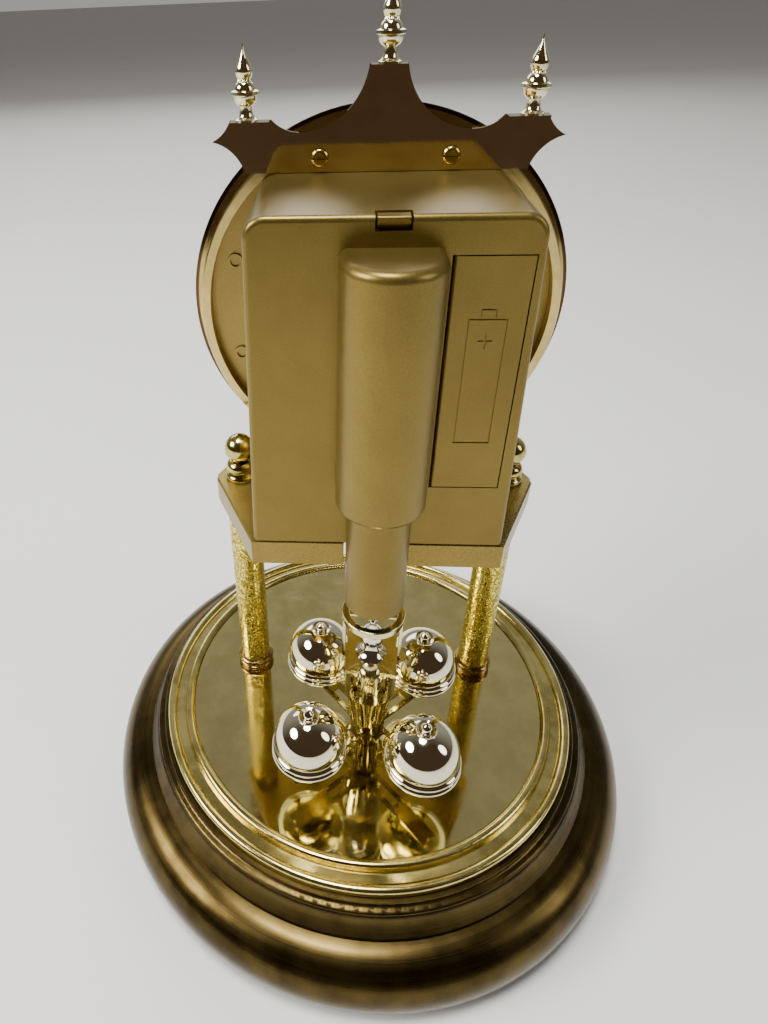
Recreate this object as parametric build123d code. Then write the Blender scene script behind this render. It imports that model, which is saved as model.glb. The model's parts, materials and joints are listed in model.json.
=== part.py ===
from build123d import *
from math import asin, atan2, cos, degrees, hypot, radians, sin
import os

# Anniversary clock with a quartz movement. Millimetres, +Z up, the dial faces -Y.
# The origin is the centre of the base's underside, on the surface that the clock stands on.

# Base
BASE_R = 92.0           # widest radius of the outer base
BASE_WALL = 1.2
BASE_LIFT = 0.8         # lower edge of the brass shell above the table
BULGE_R = 12.5          # section radius of the big rounded bulge
BULGE_Z = 9.5           # height of the widest circle
FELT_T = 1.3
PLATE_R = 62.3          # mirror plate
PLATE_Z = 34.0          # its top
PLATE_T = 1.0
TRAY_Z = 31.9           # underside of the polished tray
CORE_T = 3.9
POST_R = 5.0
POST_PCD_R = 55.0
STUD_R = 4.0            # centring stud under the pendulum
STUD_H = 10.6
GAP = 0.3               # clearance between pieces that move past each other

# Columns and platform
COL_X = 41.0
COL_Y = -11.0
COL_R = 5.3
COL_WALL = 0.8
ROD_R = 2.0
FOOT_H = 4.4
FOOT_R = 6.6
DECK_Z = 120.8          # top of the platform
DECK_T = 8.2
DECK_HALF_Y = 31.2      # from the columns back to the rear edge
DECK_FRONT_Y = 15.4     # from the columns forward to the front edge, behind the bezel
DECK_CORNER_X = 48.7
DECK_EDGE_X = 34.7
DECK_WALL = 2.0

# Rear cover
COVER_TOP_Z = 209.0
COVER_TOP_X = 31.8
COVER_BOTTOM_X = 34.0
COVER_FRONT_Y = -19.9
COVER_REAR_Y = 20.3
COVER_WALL = 1.8
COVER_CORNER = 5.0

# Latch tab in its notch at the top of the cover's rear wall
LATCH_X = 3.4
LATCH_Z = 206.9
NOTCH_X = 3.9
NOTCH_Z = 205.6

# Suspension axis and the guard tube around it
AXIS_Y = 25.5
BULGE_TUBE_R = 11.4
BULGE_TOP_Z = 202.4
BULGE_BOTTOM_Z = 139.0
GUARD_R = 8.3
GUARD_BOTTOM_Z = 104.8
GUARD_WALL = 1.3

# Battery and its door
DOOR_X0 = -29.9
DOOR_Z0 = 140.6
DOOR_Z1 = 200.4
DOOR_T = 1.6
HINGE_X = -13.7
HINGE_Y = 19.5
PIN_R = 0.5
CELL_R = 7.1
CELL_L = 50.0
CELL_X = -20.8
CELL_Y = 9.6
CELL_Z = 170.0

# Dial
DIAL_Z = 171.2
DIAL_R = 50.3           # rear rim
BEZEL_R = 53.0          # front flange, the widest part of the dial
RIM_W = 2.6
RIM_BACK = 21.0         # distance of the rim's rear edge in front of the origin
PAN_BACK = 24.5
PAN_T = 1.2
FACE_T = 0.8
RIM_FRONT = 31.0

# Pediment
PED_BACK = 20.2
PED_T = 0.8
PED_BOTTOM_Z = 209.1
SCREW_X = 16.2
SCREW_Z = 212.6

# Movement: arbor places from the dial centre, in the dial's plane
PLATE_FRONT = 17.4      # inner face of the front movement plate
PLATE_BACK = 6.0        # inner face of the back movement plate
MOVE_T = 1.2
CANNON_M = 6.25 / 24
HOUR_M = 0.25
CENTRE_M = 0.25
THIRD_M = 0.22
SECOND_M = 0.26
STEP_M = 0.20
LAYER = 0.8
PIVOT_R = 0.35
PIVOT_HOLE_R = 0.41

# Pendulum
BALL_R = 10.6
BALL_Z = 60.8
BALL_CUT = 1.6          # the dome ends this far below its centre
FLANGE_R = 11.5         # double bead round the dome's foot
BALL_A = 17.0           # half of the spacing between neighbouring balls
PEND_TURN = -4.8        # degrees, the way the pendulum hangs at rest
ARM_Z = 47.2
ARM_T = 1.2
ARM_REACH = 31.5

# Local z runs towards the viewer of the dial, so a distance "in front" is -Y.
DIAL_PLANE = Plane(origin=(0, 0, DIAL_Z), x_dir=(1, 0, 0), z_dir=(0, -1, 0))

parts = {}


def rod(r, z0, z1, x=0.0, y=0.0):
    return Pos(x, y, (z0 + z1) / 2) * Cylinder(r, z1 - z0)


def ring(r_in, r_out, z0, z1, x=0.0, y=0.0):
    return rod(r_out, z0, z1, x, y) - rod(r_in, z0 - 1, z1 + 1, x, y)


def block(x0, x1, y0, y1, z0, z1):
    centre = Pos((x0 + x1) / 2, (y0 + y1) / 2, (z0 + z1) / 2)
    return centre * Box(x1 - x0, y1 - y0, z1 - z0)


def turned(*runs):
    """Revolve a closed outline about Z. A run of two points is straight, a longer one is smooth."""
    edges = []
    for run in runs:
        points = [(r, 0, z) for r, z in run]
        edges.append(Line(*points) if len(points) == 2 else Spline(*points))
    return revolve(make_face(Wire(edges)), Axis.Z, 360)


def on_dial(shape):
    return DIAL_PLANE.location * shape


def prism(points, z0, z1):
    face = make_face(Polyline(*points, close=True))
    return Pos(0, 0, z0) * extrude(face, z1 - z0)


def flat_piece(face, z0, z1):
    return Pos(0, 0, z0) * extrude(face, z1 - z0)


def group(shapes):
    return Compound(children=list(shapes))


def polar(radius, angle):
    return (radius * cos(radians(angle)), radius * sin(radians(angle)))


# ---------------------------------------------------------------- base

def base_outline(inset):
    """Outline of the spun base from its lower edge up to the tray, moved inwards by inset."""
    bulge_x = BASE_R - BULGE_R
    r = BULGE_R - inset
    start = asin((BASE_LIFT - BULGE_Z) / r)
    low = (bulge_x + r * cos(start), 0, BASE_LIFT)
    side = (bulge_x + r * cos(radians(20)), 0, BULGE_Z + r * sin(radians(20)))
    top = (bulge_x, 0, BULGE_Z + r)
    step = (bulge_x - 0.3 - inset, 0, BULGE_Z + BULGE_R + 1.0 - inset)
    cove = [(78.0, 24.6), (76.6, 26.6), (75.9, 28.8)]
    bead = [(75.9, 28.8), (75.4, 30.2), (74.0, 30.6), (73.3, 31.4)]
    edges = [ThreePointArc(low, side, top), Line(top, step)]
    edges.append(Spline(step, *[(r - inset, 0, z - inset) for r, z in cove]))
    edges.append(Spline(*[(r - inset, 0, z - inset) for r, z in bead]))
    high = (73.3 - inset, 0, 31.4 - inset)
    inner = (0, 0, 31.4 - inset)
    floor = (0, 0, BASE_LIFT)
    edges += [Line(high, inner), Line(inner, floor), Line(floor, low)]
    return revolve(make_face(Wire(edges)), Axis.Z, 360)


def build_base():
    shell = base_outline(0) - base_outline(BASE_WALL)
    parts["base_shell"] = shell - rod(70.8, 25, 35) - ring(0.01, 88.5, 0, BASE_LIFT + 0.01)
    tray = turned([(58.0, TRAY_Z), (58.0, 33.0)],
                  [(58.0, 33.0), (62.5, 33.0)],
                  [(62.5, 33.0), (62.6, 34.3), (63.4, 35.3), (64.6, 35.4), (65.5, 34.4)],
                  [(65.5, 34.4), (66.0, 32.9)],
                  [(66.0, 32.9), (68.8, 32.9)],
                  [(68.8, 32.9), (69.3, 34.0), (70.4, 34.6), (71.6, 34.2), (72.0, 33.1)],
                  [(72.0, 33.1), (72.0, TRAY_Z)],
                  [(72.0, TRAY_Z), (58.0, TRAY_Z)])
    parts["dome_tray"] = tray
    rods = [(COL_X, COL_Y), (-COL_X, COL_Y)]
    plate = rod(PLATE_R, PLATE_Z - PLATE_T, PLATE_Z)
    core = rod(70.4, TRAY_Z - CORE_T, TRAY_Z)
    core += rod(57.6, TRAY_Z - 1, PLATE_Z - PLATE_T)
    for x, y in rods:
        plate -= rod(ROD_R + 0.2, 30, 36, x, y)
        core -= rod(ROD_R + 0.1, 20, 36, x, y)
    plate -= rod(1.6, 30, 36, 0, AXIS_Y)
    core -= rod(1.6, 20, 36, 0, AXIS_Y)
    posts = [polar(POST_PCD_R, 90 + 120 * i) for i in range(3)]
    floor_z = FELT_T + BASE_WALL
    bottom = rod(86.5, FELT_T, floor_z)
    screws = []
    for x, y in posts:
        core += rod(POST_R, floor_z, TRAY_Z - CORE_T, x, y)
        core -= rod(1.5, floor_z - 1, 14, x, y)
        bottom -= rod(1.8, 0, 5, x, y)
        screw = rod(1.48, FELT_T - 0.1, 12, x, y) + rod(3.0, FELT_T - 0.9, FELT_T, x, y)
        screws.append(screw - block(x - 2.4, x + 2.4, y - 0.35, y + 0.35, 0, FELT_T - 0.5))
    parts["mirror_plate"] = plate
    parts["base_core"] = core
    parts["base_plate"] = bottom
    parts["base_screws"] = group(screws)
    parts["felt_ring"] = ring(66.0, 84.0, 0, FELT_T)
    stud = rod(STUD_R, PLATE_Z, PLATE_Z + STUD_H)
    stud -= ring(STUD_R - 0.3, STUD_R + 1, PLATE_Z + 6.2, PLATE_Z + 6.8)
    stud = chamfer(stud.edges().group_by(Axis.Z)[-1], 0.5)
    parts["centre_stud"] = Pos(0, AXIS_Y, 0) * (stud + rod(1.5, PLATE_Z - 6, PLATE_Z + 0.1))


# ---------------------------------------------------------------- columns and platform

def column_nut():
    """Polished ball on a stepped, ringed base."""
    shape = turned([(0, 0), (4.4, 0)],
                   [(4.4, 0), (4.9, 0.9), (4.4, 1.8)],
                   [(4.4, 1.8), (3.9, 2.6)],
                   [(3.9, 2.6), (4.5, 3.7), (4.4, 4.8), (3.2, 6.2)],
                   [(3.2, 6.2), (0, 6.2)],
                   [(0, 6.2), (0, 0)])
    return shape + Pos(0, 0, 10.6) * Sphere(4.6) - rod(ROD_R, -1, 6)


def build_columns():
    foot = turned([(ROD_R + 0.2, 0), (FOOT_R - 0.6, 0)],
                  [(FOOT_R - 0.6, 0), (FOOT_R - 0.2, 0.5), (FOOT_R - 0.6, 1.1)],
                  [(FOOT_R - 0.6, 1.1), (FOOT_R, 2.1), (FOOT_R, 2.7), (FOOT_R - 0.9, 3.8)],
                  [(FOOT_R - 0.9, 3.8), (COL_R, FOOT_H)],
                  [(COL_R, FOOT_H), (ROD_R + 0.2, FOOT_H)],
                  [(ROD_R + 0.2, FOOT_H), (ROD_R + 0.2, 0)])
    sides = {"left": -COL_X, "right": COL_X}
    under = DECK_Z - DECK_T
    for name, x in sides.items():
        bottom = PLATE_Z + FOOT_H
        parts["column_" + name] = ring(COL_R - COL_WALL, COL_R, bottom, under, x, COL_Y)
    places = [(x, COL_Y) for x in sides.values()]
    nut = extrude(RegularPolygon(3.8, 6), 3.0) - rod(ROD_R, -1, 4)
    parts["foot_rings"] = group(Pos(x, y, PLATE_Z) * foot for x, y in places)
    parts["tie_rods"] = group(rod(ROD_R, 23, DECK_Z + 5.8, x, y) for x, y in places)
    parts["rod_nuts"] = group(Pos(x, y, TRAY_Z - CORE_T - 3) * nut for x, y in places)
    parts["column_nuts"] = group(Pos(x, y, DECK_Z) * column_nut() for x, y in places)


def deck_points(inset):
    """The deck seen from above: straight rear and front edges and a blunt corner at each side."""
    corner = DECK_CORNER_X - inset * 1.12
    edge = DECK_EDGE_X - inset * 0.62
    rear = DECK_HALF_Y - inset
    front = DECK_FRONT_Y - inset
    blunt = 1.4
    slope = (corner - edge) / (rear - blunt)
    front_x = corner - slope * (front - blunt)
    right = [(edge, rear), (corner, blunt), (corner, -blunt), (front_x, -front)]
    left = [(-x, y) for x, y in reversed(right)]
    return [(x, COL_Y + y) for x, y in right + left]


def build_platform():
    bottom = DECK_Z - DECK_T
    deck = prism(deck_points(0), bottom, DECK_Z)
    deck = chamfer(deck.edges().group_by(Axis.Z)[-1], 0.5)
    deck -= prism(deck_points(DECK_WALL), bottom - 1, DECK_Z - DECK_WALL)
    for x in (-COL_X, COL_X):
        deck += rod(COL_R - 0.2, bottom, DECK_Z - DECK_WALL, x, COL_Y)
        deck -= rod(ROD_R + 0.1, bottom - 1, DECK_Z + 1, x, COL_Y)
    deck -= block(-GUARD_R - 0.5, GUARD_R + 0.5, 17.9, 21, bottom - 1, DECK_Z + 1)
    holes = [(-20.0, -14.0), (20.0, -14.0)]
    screws = []
    for x, y in holes:
        deck += rod(3.5, DECK_Z - 5, DECK_Z - DECK_WALL, x, y)
        deck -= rod(1.6, bottom - 1, DECK_Z + 1, x, y)
        head = rod(2.8, DECK_Z - 6.8, DECK_Z - 5, x, y)
        screws.append(head + rod(1.5, DECK_Z - 6, DECK_Z + 5, x, y))
    parts["platform"] = deck
    parts["frame_screws"] = group(screws)


# ---------------------------------------------------------------- case

def case_points(inset, low):
    """The case seen from behind: a box that widens a little towards its foot."""
    slope = (COVER_BOTTOM_X - COVER_TOP_X) / (COVER_TOP_Z - DECK_Z)
    top = COVER_TOP_Z - inset
    top_x = COVER_TOP_X - inset + slope * inset
    low_x = COVER_TOP_X - inset + slope * (COVER_TOP_Z - low)
    return [(-low_x, low), (low_x, low), (top_x, top), (-top_x, top)]


def case_prism(inset, low, y0, y1, corner):
    """Extrude the case outline from y0 to y1, with its two upper corners rounded."""
    face = make_face(Polyline(*case_points(inset, low), close=True))
    face = fillet(face.vertices().group_by(Axis.Y)[-1], corner)
    upright = Plane(origin=(0, y0, 0), x_dir=(1, 0, 0), z_dir=(0, 1, 0))
    return upright.location * mirror(extrude(face, y1 - y0), Plane.XZ)


def guard_solid(r, z0, z1, y_front):
    """A round tube's outline whose sides run straight on to the front."""
    round_back = rod(r, z0, z1, 0, AXIS_Y) - block(-r - 1, r + 1, 0, AXIS_Y, z0 - 1, z1 + 1)
    return round_back + block(-r, r, y_front, AXIS_Y, z0, z1)


def build_cover():
    low = DECK_Z + GAP
    cover = case_prism(0, low, COVER_FRONT_Y, COVER_REAR_Y, COVER_CORNER)
    cover = fillet(cover.faces().sort_by(Axis.Y)[-1].edges().sort_by(Axis.Z)[1:], 1.4)
    inner = COVER_REAR_Y - COVER_WALL
    bulge = guard_solid(BULGE_TUBE_R, BULGE_BOTTOM_Z, BULGE_TOP_Z, inner)
    bulge = fillet(bulge.edges().group_by(Axis.Z)[-1], 2.2)
    bulge = fillet(bulge.edges().group_by(Axis.Z)[0], 1.6)
    cover += bulge
    cover += guard_solid(GUARD_R, GUARD_BOTTOM_Z, BULGE_BOTTOM_Z + 1, inner)
    cover -= case_prism(COVER_WALL, low - 1, COVER_FRONT_Y - 1, inner, COVER_CORNER - COVER_WALL)
    cover -= guard_solid(BULGE_TUBE_R - 1.6, BULGE_BOTTOM_Z + 1.6, BULGE_TOP_Z - 1.6, inner - 1)
    cover -= guard_solid(GUARD_R - GUARD_WALL, GUARD_BOTTOM_Z - 1, BULGE_BOTTOM_Z + 2, inner - 1)
    cover -= block(DOOR_X0 - GAP, -12.55, inner - 1, COVER_REAR_Y + 1, DOOR_Z0 - GAP, DOOR_Z1 + GAP)
    cover -= rod(PIN_R + 0.06, DOOR_Z0 - 1.4, DOOR_Z1 + 1.4, HINGE_X, HINGE_Y)
    cover -= block(-NOTCH_X, NOTCH_X, 16.5, COVER_REAR_Y + 1, NOTCH_Z, COVER_TOP_Z + 1)
    parts["rear_cover"] = cover


def build_door():
    door = block(DOOR_X0, HINGE_X, COVER_REAR_Y - DOOR_T, COVER_REAR_Y, DOOR_Z0, DOOR_Z1)
    door += rod(DOOR_T / 2, DOOR_Z0, DOOR_Z1, HINGE_X, HINGE_Y)
    for x0, x1, z0, z1 in ((-26.0, -17.2, 154.0, 186.6), (-23.4, -19.8, 186.6, 188.9)):
        groove = block(x0, x1, 20.0, 21, z0, z1) - block(x0 + 0.4, x1 - 0.4, 19, 22, z0 + 0.4, z1 - 0.4)
        door -= groove
    door -= block(-23.2, -20.0, 20.0, 21, 181.1, 181.5)
    door -= block(-21.8, -21.4, 20.0, 21, 179.4, 183.2)
    door += block(DOOR_X0 + 1.0, DOOR_X0 + 1.8, 16.6, 18.8, 166, 174)
    door += rod(PIN_R, DOOR_Z0 - 1.2, DOOR_Z1 + 1.2, HINGE_X, HINGE_Y)
    parts["battery_door"] = door
    tab = block(-LATCH_X, LATCH_X, 17.0, 20.1, LATCH_Z, 208.7)
    tab = fillet(tab.edges().filter_by(Axis.X).group_by(Axis.Y)[-1], 0.6)
    tab += block(-LATCH_X, LATCH_X, 17.0, 18.2, 205.6, 208.7)
    parts["latch_tab"] = tab + block(-LATCH_X, LATCH_X, 4.0, 18.2, 205.6, 206.7)


def build_frame():
    """Inner frame of the case: front plate with a shallow rim that the cover slides over."""
    low = DECK_Z
    clear = COVER_WALL + 0.35
    frame = case_prism(clear, low, -RIM_BACK + 0.4, -14.0, COVER_CORNER - clear)
    nose = case_prism(clear, low, -PAN_BACK, -RIM_BACK + 0.4, COVER_CORNER - clear)
    frame += nose & on_dial(rod(DIAL_R - RIM_W - 0.5, 20, 25))
    frame -= case_prism(clear + 1.5, low + 6, -PAN_BACK + 1.8, -13.0, 2.0)
    frame -= on_dial(rod(4.1, 20, 30))
    for x in (-20.0, 20.0):
        frame -= rod(1.5, DECK_Z - 1, DECK_Z + 5.2, x, -14.0)
    parts["case_frame"] = frame
    parts["dial_nut"] = on_dial(extrude(RegularPolygon(6.2, 6), 1.6).moved(Location((0, 0, 26.5)))
                                - rod(4.0, 20, 30))


def build_battery():
    x0 = CELL_X - CELL_R - 0.9
    x1 = CELL_X + CELL_R + 0.9
    z0 = CELL_Z - CELL_L / 2 - 3.6
    z1 = CELL_Z + CELL_L / 2 + 2.4
    back = CELL_Y - CELL_R - 0.4
    tray = block(x0, x1, back - 1.2, 14.0, z0, z1)
    tray -= block(x0 + 0.8, x1 - 0.8, back, 20, z0 + 1.2, z1 - 1.2)
    for z in (z0 + 3, z1 - 3):
        tray += rod(2.2, 0, PAN_BACK - 1.8 + back - 1.1).moved(
            Location((CELL_X - 3.6, back - 1.1, z), (90, 0, 0)))
    parts["battery_holder"] = tray
    cell = rod(CELL_R, CELL_Z - CELL_L / 2, CELL_Z + CELL_L / 2 - 1.4, CELL_X, CELL_Y)
    cell = fillet(cell.edges(), 0.5)
    parts["battery_cell"] = cell + rod(2.7, CELL_Z + 20, CELL_Z + CELL_L / 2, CELL_X, CELL_Y)
    plate = block(CELL_X - 4, CELL_X + 4, CELL_Y - 5, CELL_Y + 4, z1 - 1.6, z1 - 1.2)
    plate += rod(1.6, CELL_Z + CELL_L / 2, z1 - 1.2, CELL_X, CELL_Y)
    spring = block(CELL_X - 4, CELL_X + 4, CELL_Y - 5, CELL_Y + 4, z0 + 1.2, z0 + 1.6)
    for i in range(2):
        spring += ring(3.0 - i, 3.6 - i, z0 + 1.5 + 0.45 * i, z0 + 2.15 + 0.45 * i, CELL_X, CELL_Y)
    spring += ring(1.1, 2.1, z0 + 2.3, CELL_Z - CELL_L / 2, CELL_X, CELL_Y)
    parts["battery_contacts"] = group([plate, spring])


# ---------------------------------------------------------------- pediment and dial

def pediment_face():
    """Half of the outline, mirrored: a tall centre with concave sweeps down to pointed ears."""
    with BuildLine() as half:
        Line((0, 232.8), (4.5, 232.8))
        ThreePointArc((4.5, 232.8), (10.2, 222.4), (19.3, 218.6))
        ThreePointArc((19.3, 218.6), (23.9, 218.8), (28.1, 221.4))
        Line((28.1, 221.4), (38.3, 221.4))
        ThreePointArc((38.3, 221.4), (40.2, 218.6), (43.1, 216.6))
        ThreePointArc((43.1, 216.6), (38.2, 214.0), (35.3, PED_BOTTOM_Z))
        Line((35.3, PED_BOTTOM_Z), (0, PED_BOTTOM_Z))
        Line((0, PED_BOTTOM_Z), (0, 232.8))
    side = make_face(half.line)
    return side + mirror(side, Plane.YZ)


def finial():
    """Turned finial: foot, stem, cup, wide band, dome, and an onion drawn up into a spire."""
    return turned([(0, 0), (2.8, 0)],
                  [(2.8, 0), (2.8, 0.5)],
                  [(2.8, 0.5), (1.9, 1.1), (1.6, 1.9), (1.6, 3.4)],
                  [(1.6, 3.4), (2.4, 4.1), (2.85, 5.6)],
                  [(2.85, 5.6), (3.5, 5.9)],
                  [(3.5, 5.9), (3.5, 6.6)],
                  [(3.5, 6.6), (2.6, 6.9)],
                  [(2.6, 6.9), (2.3, 7.8), (1.2, 8.8)],
                  [(1.2, 8.8), (1.9, 9.8), (2.05, 10.8), (1.25, 12.8), (0.5, 14.4), (0.12, 16.2)],
                  [(0.12, 16.2), (0, 16.2)],
                  [(0, 16.2), (0, 0)])


def build_pediment():
    upright = Plane(origin=(0, 0, 0), x_dir=(1, 0, 0), z_dir=(0, -1, 0))
    plate = flat_piece(pediment_face(), PED_BACK, PED_BACK + PED_T)
    plate += block(-4.2, 4.2, 232.4, 232.8, 16.6, 20.3)
    plate += block(-38.0, -28.4, 221.0, 221.4, 16.6, 20.3)
    plate += block(28.4, 38.0, 221.0, 221.4, 16.6, 20.3)
    screws = []
    for x in (-SCREW_X, SCREW_X):
        plate -= rod(1.4, 15, 25, x, SCREW_Z)
        head = rod(2.2, 18.8, PED_BACK, x, SCREW_Z)
        head = fillet(head.edges().group_by(Axis.Z)[0], 0.9)
        head -= block(x - 3, x + 3, SCREW_Z - 0.3, SCREW_Z + 0.3, 18, 19.5)
        screws.append(head + rod(1.3, PED_BACK - 0.1, PAN_BACK, x, SCREW_Z))
    parts["pediment_plate"] = upright.location * plate
    parts["pediment_screws"] = upright.location * group(screws)
    seat_y = -18.6
    seats = [(-33.9, 221.4), (0, 232.8), (33.9, 221.4)]
    parts["finials"] = group(Pos(x, seat_y, z) * finial() for x, z in seats)


def build_dial():
    bezel = turned([(DIAL_R - RIM_W, RIM_BACK), (DIAL_R - 0.4, RIM_BACK)],
                   [(DIAL_R - 0.4, RIM_BACK), (DIAL_R, RIM_BACK + 0.6)],
                   [(DIAL_R, RIM_BACK + 0.6), (DIAL_R, 26.9)],
                   [(DIAL_R, 26.9), (BEZEL_R, 27.5)],
                   [(BEZEL_R, 27.5), (BEZEL_R + 0.1, 28.2), (BEZEL_R - 0.4, 28.8)],
                   [(BEZEL_R - 0.4, 28.8), (DIAL_R - 0.4, 30.2), (DIAL_R - 1.8, RIM_FRONT),
                    (DIAL_R - 3.2, 30.2)],
                   [(DIAL_R - 3.2, 30.2), (DIAL_R - 4.6, 27.0)],
                   [(DIAL_R - 4.6, 27.0), (DIAL_R - 4.6, PAN_BACK + PAN_T + FACE_T)],
                   [(DIAL_R - 4.6, PAN_BACK + PAN_T + FACE_T), (DIAL_R - RIM_W, PAN_BACK + PAN_T + FACE_T)],
                   [(DIAL_R - RIM_W, PAN_BACK + PAN_T + FACE_T), (DIAL_R - RIM_W, RIM_BACK)])
    parts["bezel_ring"] = on_dial(bezel)
    pan = rod(DIAL_R - RIM_W - 0.05, PAN_BACK, PAN_BACK + PAN_T)
    for x in (-SCREW_X, SCREW_X):
        y = SCREW_Z - DIAL_Z
        pan += rod(2.6, RIM_BACK, PAN_BACK + 0.1, x, y)
        pan -= rod(1.3, RIM_BACK - 1, PAN_BACK, x, y)
    for x in (-40.0, 40.0):
        for y in (-14.0, 14.0):
            pan += ring(1.4, 2.2, PAN_BACK - 0.7, PAN_BACK + 0.1, x, y)
    parts["dial_pan"] = on_dial(pan - rod(4.1, 20, 30))
    face_z = PAN_BACK + PAN_T
    face = rod(DIAL_R - RIM_W - 0.05, face_z, face_z + FACE_T) - rod(4.1, 20, 30)
    parts["dial_face"] = on_dial(face)
    chapter_z = face_z + FACE_T
    chapter = turned([(30.5, chapter_z), (45.0, chapter_z)],
                     [(45.0, chapter_z), (44.7, chapter_z + 0.5)],
                     [(44.7, chapter_z + 0.5), (30.8, chapter_z + 0.5)],
                     [(30.8, chapter_z + 0.5), (30.5, chapter_z)])
    parts["chapter_ring"] = on_dial(chapter)


def hand_face(length, width):
    """Pierced hand: boss, slim waist, an open leaf and a long point."""
    leaf_low = length * 0.34
    leaf_mid = length * 0.56
    leaf_high = length * 0.76
    with BuildLine() as outline:
        Spline((0.9, 0), (0.75, leaf_low * 0.6), (0.9, leaf_low), (width, leaf_mid), (0.8, leaf_high))
        Line((0.8, leaf_high), (0.15, length))
        Line((0.15, length), (-0.15, length))
        Line((-0.15, length), (-0.8, leaf_high))
        Spline((-0.8, leaf_high), (-width, leaf_mid), (-0.9, leaf_low), (-0.75, leaf_low * 0.6), (-0.9, 0))
        Line((-0.9, 0), (0.9, 0))
    hole = Pos(0, leaf_mid) * Ellipse(width - 1.1, (leaf_high - leaf_low) * 0.3)
    return make_face(outline.line) + Circle(3.0) - hole


# ---------------------------------------------------------------- movement

def gear(teeth, module, z0, z1, towards, tooth):
    """A toothed disc. A tooth, or a gap when tooth is False, is centred on the angle towards."""
    pitch = 360 / teeth
    start = towards if tooth else towards + pitch / 2
    root = module * (teeth / 2 - 1.15)
    tip = module * (teeth / 2 + 0.72)
    points = []
    for i in range(teeth):
        middle = start + pitch * i
        for radius, side in ((root, -0.23), (tip, -0.09), (tip, 0.09), (root, 0.23)):
            points.append(polar(radius, middle + side * pitch))
    return prism(points, z0, z1)


def arbor(x, y, radius, wheel, pinion):
    """A wheel and a pinion on one arbor with a pivot at each end."""
    shaft = rod(radius, PLATE_BACK + 0.15, PLATE_FRONT - 0.15)
    pivots = rod(PIVOT_R, PLATE_BACK - 0.9, PLATE_FRONT + 0.9)
    return on_dial(Pos(x, y, 0) * (shaft + pivots + wheel + pinion))


def front_stud(x, y, radius, wheel, pinion):
    """The same, but held by the front plate alone, clear of the wheel behind it."""
    shaft = rod(radius, CANNON_Z - 0.2, PLATE_FRONT - 0.15)
    pivot = rod(PIVOT_R, CANNON_Z, PLATE_FRONT + 0.9)
    return on_dial(Pos(x, y, 0) * (shaft + pivot + wheel + pinion))


def direction(a, b):
    """Angle in degrees of the line from a to b."""
    return degrees(atan2(b[1] - a[1], b[0] - a[0]))


CENTRE = (0.0, 0.0)
THIRD = polar(CENTRE_M * (60 + 8) / 2, 60)
SECOND = (THIRD[0] + polar(THIRD_M * 36, 100)[0], THIRD[1] + polar(THIRD_M * 36, 100)[1])
STEP = (SECOND[0] + polar(SECOND_M * 24, 180)[0], SECOND[1])
ROTOR = (STEP[0] + polar(STEP_M * 28, 200)[0], STEP[1] + polar(STEP_M * 28, 200)[1])
MOTION = (0.0, -6.25)
KNOB = (MOTION[0] + polar(6.25, -60)[0], MOTION[1] + polar(6.25, -60)[1])
HOUR_Z = 15.8
CANNON_Z = 14.4
CENTRE_Z = 12.8
THIRD_Z = 11.2
SECOND_Z = 9.6
STEP_Z = 8.0


def build_train():
    """Going train, from the motor's rotor to the centre wheel."""
    ct = direction(CENTRE, THIRD)
    ts = direction(THIRD, SECOND)
    si = direction(SECOND, STEP)
    ir = direction(STEP, ROTOR)
    centre = gear(60, CENTRE_M, CENTRE_Z, CENTRE_Z + LAYER, ct, True)
    centre += rod(1.7, CENTRE_Z - 0.4, CENTRE_Z + LAYER + 0.3)
    parts["centre_wheel"] = on_dial(centre - rod(0.86, 5, 20))
    third_pinion = gear(8, CENTRE_M, CENTRE_Z - 0.5, CENTRE_Z + LAYER + 0.3, ct + 180, False)
    third = gear(64, THIRD_M, THIRD_Z, THIRD_Z + LAYER, ts, True)
    parts["third_wheel"] = arbor(*THIRD, 0.5, third, third_pinion)
    second_pinion = gear(8, THIRD_M, THIRD_Z - 0.5, THIRD_Z + LAYER + 0.3, ts + 180, False)
    second = gear(40, SECOND_M, SECOND_Z, SECOND_Z + LAYER, si, True)
    parts["second_wheel"] = arbor(*SECOND, 0.4, second, second_pinion)
    step_pinion = gear(8, SECOND_M, SECOND_Z - 0.5, SECOND_Z + LAYER + 0.3, si + 180, False)
    step = gear(48, STEP_M, STEP_Z, STEP_Z + LAYER, ir, True)
    parts["step_wheel"] = arbor(*STEP, 0.4, step, step_pinion)
    rotor_pinion = gear(8, STEP_M, STEP_Z - 0.5, STEP_Z + LAYER + 0.3, ir + 180, False)
    parts["motor_rotor"] = arbor(*ROTOR, 0.4, rod(2.1, 11.0, 14.0), rotor_pinion)


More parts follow.
